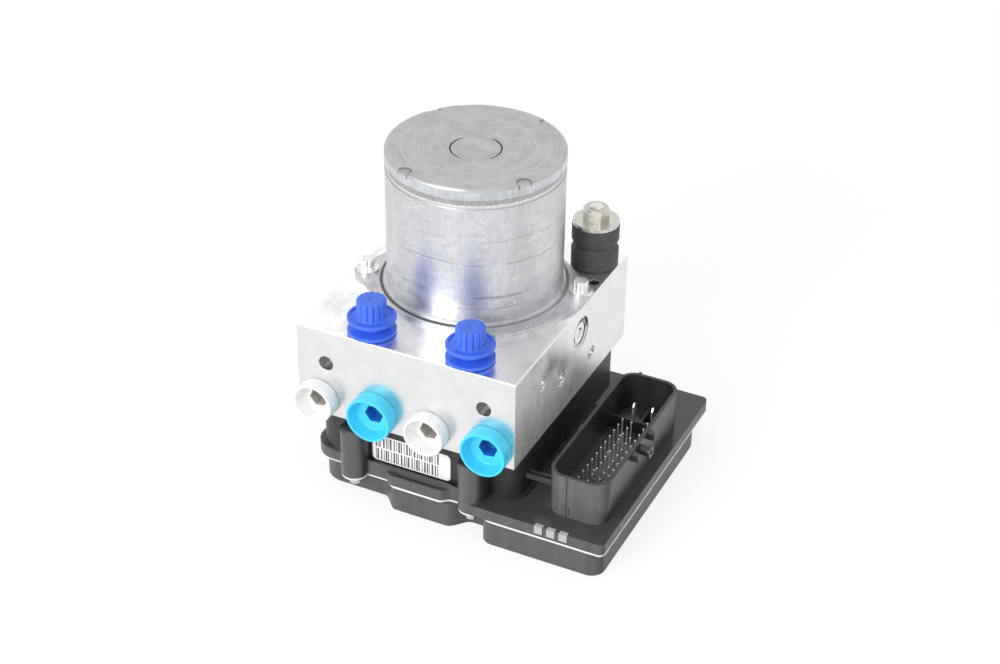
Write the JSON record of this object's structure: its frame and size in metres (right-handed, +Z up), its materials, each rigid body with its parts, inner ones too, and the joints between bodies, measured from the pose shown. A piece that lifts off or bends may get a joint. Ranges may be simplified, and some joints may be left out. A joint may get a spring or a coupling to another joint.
{
  "type": "anti-lock brake module",
  "caption": "Anti-lock brake hydraulic unit: valve block with shipping plugs, round pump motor, plastic controller with connector shroud and rubber mount.",
  "frame": {"origin": "on the motor axis, on the underside of the controller cover", "axes": "+Z up along the motor axis, +X towards the connector side, +Y to the back, away from the wheel ports"},
  "size_m": [0.1431, 0.1196, 0.1441],
  "materials": {
    "block_aluminium": "satin",
    "plug_steel": "satin",
    "dark_blue_plastic": "satin",
    "white_plastic": "satin",
    "light_blue_plastic": "satin",
    "valve_steel": "satin",
    "coil_plastic": "matte",
    "piston_aluminium": "satin",
    "spring_steel": "satin",
    "ground_steel": "polished",
    "can_steel": "brushed",
    "end_cap_steel": "brushed",
    "zinc_screws": "satin",
    "core_steel": "satin",
    "copper": "satin",
    "magnet": "matte",
    "carbon": "matte",
    "bush_rubber": "matte",
    "bright_zinc": "polished",
    "yellow_zinc": "satin",
    "housing_plastic": "satin",
    "cover_plastic": "satin",
    "white_sealant": "matte",
    "black_seal": "matte",
    "board": "satin",
    "pin_tin": "polished",
    "tab_plastic": "matte"
  },
  "bodies": {
    "module": {"valve_block": "block_aluminium", "ball_plugs": "plug_steel", "master_port_cap_left": "dark_blue_plastic", "master_port_cap_right": "dark_blue_plastic", "wheel_port_cap_1": "white_plastic", "wheel_port_cap_2": "light_blue_plastic", "wheel_port_cap_3": "white_plastic", "wheel_port_cap_4": "light_blue_plastic", "inlet_valves": "valve_steel", "outlet_valves": "valve_steel", "inlet_coils": "coil_plastic", "outlet_coils": "coil_plastic", "accumulator_spring_left": "spring_steel", "accumulator_spring_right": "spring_steel", "accumulator_cover_left": "plug_steel", "accumulator_cover_right": "plug_steel", "pump_spring_left": "spring_steel", "pump_spring_right": "spring_steel", "pump_plug_left": "plug_steel", "pump_plug_right": "plug_steel", "motor_terminal": "coil_plastic", "motor_can": "can_steel", "motor_end_cap": "end_cap_steel", "motor_screws": "zinc_screws", "magnet_left": "magnet", "magnet_right": "magnet", "brush_plate": "coil_plastic", "brush_left": "carbon", "brush_right": "carbon", "top_bearing": "ground_steel", "motor_bearing": "ground_steel", "lower_bearing": "ground_steel", "lower_bush": "bush_rubber", "upper_bush": "bush_rubber", "mount_stud": "bright_zinc", "mount_washer": "bright_zinc", "mount_nut": "yellow_zinc", "controller_housing": "housing_plastic", "controller_well": "housing_plastic", "connector_shroud": "housing_plastic", "connector_divider": "housing_plastic", "controller_cover": "cover_plastic", "cover_seal": "white_sealant", "housing_seal": "black_seal", "circuit_board": "board", "housing_screws": "zinc_screws", "column_screws": "zinc_screws", "connector_pins": "pin_tin", "power_blades": "pin_tin", "edge_tabs": "tab_plastic"},
    "rotor": {"motor_shaft": "ground_steel", "armature_core": "core_steel", "armature_winding": "copper", "commutator": "copper"},
    "ring": {"eccentric_bearing": "ground_steel"},
    "pump_piston_left": {"pump_piston_left": "ground_steel"},
    "pump_piston_right": {"pump_piston_right": "ground_steel"},
    "accumulator_piston_left": {"accumulator_piston_left": "piston_aluminium"},
    "accumulator_piston_right": {"accumulator_piston_right": "piston_aluminium"}
  },
  "joints": [
    {"name": "rotor_spin", "type": "hinge", "parent": "module", "child": "rotor", "pos_m": [0, 0, 0.1], "axis": [0, 0, 1], "continuous": true},
    {"name": "ring_spin", "type": "hinge", "parent": "rotor", "child": "ring", "pos_m": [0, 0.0012, 0.0669], "axis": [0, 0, 1], "continuous": true},
    {"name": "pump_stroke_left", "type": "slide", "parent": "module", "child": "pump_piston_left", "axis": [-1, 0, 0], "range_m": [0, 0.0024], "stiffness_N_per_m": 1500, "springref_m": -0.002},
    {"name": "pump_stroke_right", "type": "slide", "parent": "module", "child": "pump_piston_right", "axis": [1, 0, 0], "range_m": [0, 0.0024], "stiffness_N_per_m": 1500, "springref_m": -0.002},
    {"name": "accumulator_fill_left", "type": "slide", "parent": "module", "child": "accumulator_piston_left", "axis": [0, 0, -1], "range_m": [0, 0.008], "stiffness_N_per_m": 2000, "springref_m": -0.002, "deforming": ["accumulator_spring_left"]},
    {"name": "accumulator_fill_right", "type": "slide", "parent": "module", "child": "accumulator_piston_right", "axis": [0, 0, -1], "range_m": [0, 0.008], "stiffness_N_per_m": 2000, "springref_m": -0.002, "deforming": ["accumulator_spring_right"]}
  ]
}
